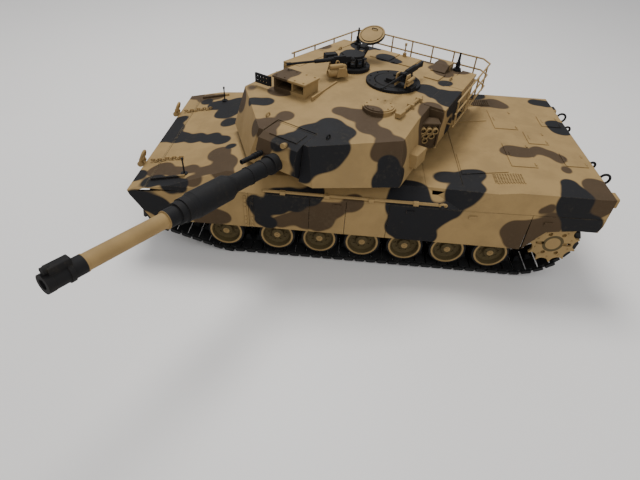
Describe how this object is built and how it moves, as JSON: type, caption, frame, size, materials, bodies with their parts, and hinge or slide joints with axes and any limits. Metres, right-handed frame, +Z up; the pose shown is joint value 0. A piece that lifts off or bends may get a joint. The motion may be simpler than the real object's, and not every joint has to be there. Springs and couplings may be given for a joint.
{
  "type": "radio controlled tank",
  "caption": "Radio controlled battle tank with turning turret, elevating gun, road wheels on tracks, hatches and roof machine guns",
  "frame": {"origin": "on the ground under the turret's traverse axis", "axes": "+X to the hull's front, +Y to its left, +Z up"},
  "size_m": [0.4976, 0.5176, 0.1876],
  "materials": {
    "camouflage_paint": "matt sprayed camouflage",
    "sand_paint": "matt sand paint",
    "barrel_paint": "matt black with a sand band",
    "track_plastic": "matt",
    "black_plastic": "matt",
    "dark_plastic": "satin",
    "steel": "plated",
    "motor_steel": "plated",
    "battery_wrap": "shrink wrap",
    "board": "solder mask"
  },
  "bodies": {
    "hull": {"lower_hull": "camouflage_paint", "upper_hull": "camouflage_paint", "skirt_panels_left": "camouflage_paint", "skirt_panels_right": "camouflage_paint", "engine_deck": "camouflage_paint", "fender_marker_rods": "black_plastic", "tow_shackles": "sand_paint", "tow_cables": "sand_paint", "rear_light_pods": "camouflage_paint", "lifting_rings": "black_plastic", "hull_screws": "steel", "drive_gearboxes": "motor_steel", "battery_pack": "battery_wrap", "control_electronics": "board", "traverse_motor": "motor_steel", "swing_arms_left": "sand_paint", "swing_arms_right": "sand_paint", "track_left": "track_plastic", "track_right": "track_plastic"},
    "turret": {"turret_shell": "camouflage_paint", "turret_ring": "dark_plastic", "gunner_sight": "camouflage_paint", "bustle_rack": "sand_paint", "stowage_bins": "camouflage_paint", "smoke_launchers": "camouflage_paint", "antennas": "black_plastic", "elevation_servo": "dark_plastic", "loader_hatch": "black_plastic"},
    "main_gun": {"gun_mantlet": "camouflage_paint", "gun_barrel": "barrel_paint", "coax_gun": "black_plastic"},
    "cupola": {"commander_cupola": "black_plastic", "commander_gun_mount": "sand_paint"},
    "commander_hatch": {"commander_hatch": "sand_paint"},
    "commander_gun": {"commander_gun": "black_plastic"},
    "loader_ring": {"loader_ring": "black_plastic"},
    "loader_gun": {"loader_gun": "black_plastic"},
    "sight_door": {"gunner_sight_door": "black_plastic"},
    "driver_hatch": {"driver_hatch": "camouflage_paint"},
    "power_switch": {"power_switch": "black_plastic"},
    "battery_door": {"battery_door": "dark_plastic"},
    "traverse_pinion": {"traverse_pinion": "dark_plastic"},
    "drive_sprocket_left": {"drive_sprocket_left": "sand_paint"},
    "road_wheel_left_1": {"road_wheel_left_1": "sand_paint"},
    "road_wheel_left_2": {"road_wheel_left_2": "sand_paint"},
    "road_wheel_left_3": {"road_wheel_left_3": "sand_paint"},
    "road_wheel_left_4": {"road_wheel_left_4": "sand_paint"},
    "road_wheel_left_5": {"road_wheel_left_5": "sand_paint"},
    "road_wheel_left_6": {"road_wheel_left_6": "sand_paint"},
    "road_wheel_left_7": {"road_wheel_left_7": "sand_paint"},
    "idler_wheel_left": {"idler_wheel_left": "sand_paint"},
    "drive_sprocket_right": {"drive_sprocket_right": "sand_paint"},
    "road_wheel_right_1": {"road_wheel_right_1": "sand_paint"},
    "road_wheel_right_2": {"road_wheel_right_2": "sand_paint"},
    "road_wheel_right_3": {"road_wheel_right_3": "sand_paint"},
    "road_wheel_right_4": {"road_wheel_right_4": "sand_paint"},
    "road_wheel_right_5": {"road_wheel_right_5": "sand_paint"},
    "road_wheel_right_6": {"road_wheel_right_6": "sand_paint"},
    "road_wheel_right_7": {"road_wheel_right_7": "sand_paint"},
    "idler_wheel_right": {"idler_wheel_right": "sand_paint"}
  },
  "joints": [
    {"name": "sprocket_spin_left", "type": "hinge", "parent": "hull", "child": "drive_sprocket_left", "pos_m": [-0.2225, 0.092, 0.05], "axis": [0, 1, 0], "continuous": true},
    {"name": "wheel_spin_left_1", "type": "hinge", "parent": "hull", "child": "road_wheel_left_1", "pos_m": [0.1214, 0.092, 0.0254], "axis": [0, 1, 0], "continuous": true},
    {"name": "wheel_spin_left_2", "type": "hinge", "parent": "hull", "child": "road_wheel_left_2", "pos_m": [0.0654, 0.092, 0.0254], "axis": [0, 1, 0], "continuous": true},
    {"name": "wheel_spin_left_3", "type": "hinge", "parent": "hull", "child": "road_wheel_left_3", "pos_m": [0.0192, 0.092, 0.0254], "axis": [0, 1, 0], "continuous": true},
    {"name": "wheel_spin_left_4", "type": "hinge", "parent": "hull", "child": "road_wheel_left_4", "pos_m": [-0.027, 0.092, 0.0254], "axis": [0, 1, 0], "continuous": true},
    {"name": "wheel_spin_left_5", "type": "hinge", "parent": "hull", "child": "road_wheel_left_5", "pos_m": [-0.0732, 0.092, 0.0254], "axis": [0, 1, 0], "continuous": true},
    {"name": "wheel_spin_left_6", "type": "hinge", "parent": "hull", "child": "road_wheel_left_6", "pos_m": [-0.1194, 0.092, 0.0254], "axis": [0, 1, 0], "continuous": true},
    {"name": "wheel_spin_left_7", "type": "hinge", "parent": "hull", "child": "road_wheel_left_7", "pos_m": [-0.1656, 0.092, 0.0254], "axis": [0, 1, 0], "continuous": true},
    {"name": "idler_spin_left", "type": "hinge", "parent": "hull", "child": "idler_wheel_left", "pos_m": [0.183, 0.092, 0.048], "axis": [0, 1, 0], "continuous": true},
    {"name": "sprocket_spin_right", "type": "hinge", "parent": "hull", "child": "drive_sprocket_right", "pos_m": [-0.2225, -0.092, 0.05], "axis": [0, 1, 0], "continuous": true},
    {"name": "wheel_spin_right_1", "type": "hinge", "parent": "hull", "child": "road_wheel_right_1", "pos_m": [0.1214, -0.092, 0.0254], "axis": [0, 1, 0], "continuous": true},
    {"name": "wheel_spin_right_2", "type": "hinge", "parent": "hull", "child": "road_wheel_right_2", "pos_m": [0.0654, -0.092, 0.0254], "axis": [0, 1, 0], "continuous": true},
    {"name": "wheel_spin_right_3", "type": "hinge", "parent": "hull", "child": "road_wheel_right_3", "pos_m": [0.0192, -0.092, 0.0254], "axis": [0, 1, 0], "continuous": true},
    {"name": "wheel_spin_right_4", "type": "hinge", "parent": "hull", "child": "road_wheel_right_4", "pos_m": [-0.027, -0.092, 0.0254], "axis": [0, 1, 0], "continuous": true},
    {"name": "wheel_spin_right_5", "type": "hinge", "parent": "hull", "child": "road_wheel_right_5", "pos_m": [-0.0732, -0.092, 0.0254], "axis": [0, 1, 0], "continuous": true},
    {"name": "wheel_spin_right_6", "type": "hinge", "parent": "hull", "child": "road_wheel_right_6", "pos_m": [-0.1194, -0.092, 0.0254], "axis": [0, 1, 0], "continuous": true},
    {"name": "wheel_spin_right_7", "type": "hinge", "parent": "hull", "child": "road_wheel_right_7", "pos_m": [-0.1656, -0.092, 0.0254], "axis": [0, 1, 0], "continuous": true},
    {"name": "idler_spin_right", "type": "hinge", "parent": "hull", "child": "idler_wheel_right", "pos_m": [0.183, -0.092, 0.048], "axis": [0, 1, 0], "continuous": true},
    {"name": "turret_traverse", "type": "hinge", "parent": "hull", "child": "turret", "pos_m": [0, 0, 0.1], "axis": [0, 0, 1], "range_deg": [-198, 78]},
    {"name": "pinion_spin", "type": "hinge", "parent": "hull", "child": "traverse_pinion", "pos_m": [-0.045, 0, 0.0936], "axis": [0, 0, 1], "range_deg": [-1985, 785]},
    {"name": "gun_elevation", "type": "hinge", "parent": "turret", "child": "main_gun", "pos_m": [0.048, 0.08314, 0.118], "axis": [0.866, -0.5, 0], "range_deg": [-8, 10]},
    {"name": "cupola_turn", "type": "hinge", "parent": "turret", "child": "cupola", "pos_m": [-0.00115, -0.064, 0.155], "axis": [0, 0, 1], "range_deg": [-45, 20]},
    {"name": "commander_hatch_hinge", "type": "hinge", "parent": "cupola", "child": "commander_hatch", "pos_m": [-0.0119, -0.08262, 0.17], "axis": [-0.866, 0.5, 0], "range_deg": [0, 150]},
    {"name": "commander_gun_elevation", "type": "hinge", "parent": "cupola", "child": "commander_gun", "pos_m": [0.01771, -0.03332, 0.168], "axis": [0.454, -0.891, 0], "range_deg": [-2, 20]},
    {"name": "loader_ring_turn", "type": "hinge", "parent": "turret", "child": "loader_ring", "pos_m": [-0.04775, -0.0267, 0.153], "axis": [0, 0, 1], "range_deg": [-10, 40]},
    {"name": "loader_gun_elevation", "type": "hinge", "parent": "loader_ring", "child": "loader_gun", "pos_m": [-0.05711, -0.01091, 0.166], "axis": [0.866, -0.5, 0], "range_deg": [-6, 10]},
    {"name": "sight_door_hinge", "type": "hinge", "parent": "turret", "child": "sight_door", "pos_m": [0.08511, 0.01021, 0.157], "axis": [0, 0, 1], "range_deg": [0, 172]},
    {"name": "driver_hatch_swing", "type": "hinge", "parent": "hull", "child": "driver_hatch", "pos_m": [0.082, -0.0195, 0.098], "axis": [0, 0, -1], "range_deg": [0, 95]},
    {"name": "power_switch_slide", "type": "slide", "parent": "hull", "child": "power_switch", "axis": [1, 0, 0], "range_m": [0, 0.006]},
    {"name": "battery_door_slide", "type": "slide", "parent": "hull", "child": "battery_door", "axis": [-1, 0, 0], "range_m": [0, 0.055]}
  ],
  "couplings": [
    {"joint": "wheel_spin_left_1", "follows": "sprocket_spin_left", "ratio": 1.0645},
    {"joint": "wheel_spin_left_2", "follows": "sprocket_spin_left", "ratio": 1.0645},
    {"joint": "wheel_spin_left_3", "follows": "sprocket_spin_left", "ratio": 1.0645},
    {"joint": "wheel_spin_left_4", "follows": "sprocket_spin_left", "ratio": 1.0645},
    {"joint": "wheel_spin_left_5", "follows": "sprocket_spin_left", "ratio": 1.0645},
    {"joint": "wheel_spin_left_6", "follows": "sprocket_spin_left", "ratio": 1.0645},
    {"joint": "wheel_spin_left_7", "follows": "sprocket_spin_left", "ratio": 1.0645},
    {"joint": "idler_spin_left", "follows": "sprocket_spin_left", "ratio": 1.0487},
    {"joint": "wheel_spin_right_1", "follows": "sprocket_spin_right", "ratio": 1.0645},
    {"joint": "wheel_spin_right_2", "follows": "sprocket_spin_right", "ratio": 1.0645},
    {"joint": "wheel_spin_right_3", "follows": "sprocket_spin_right", "ratio": 1.0645},
    {"joint": "wheel_spin_right_4", "follows": "sprocket_spin_right", "ratio": 1.0645},
    {"joint": "wheel_spin_right_5", "follows": "sprocket_spin_right", "ratio": 1.0645},
    {"joint": "wheel_spin_right_6", "follows": "sprocket_spin_right", "ratio": 1.0645},
    {"joint": "wheel_spin_right_7", "follows": "sprocket_spin_right", "ratio": 1.0645},
    {"joint": "idler_spin_right", "follows": "sprocket_spin_right", "ratio": 1.0487},
    {"joint": "pinion_spin", "follows": "turret_traverse", "ratio": 10}
  ]
}
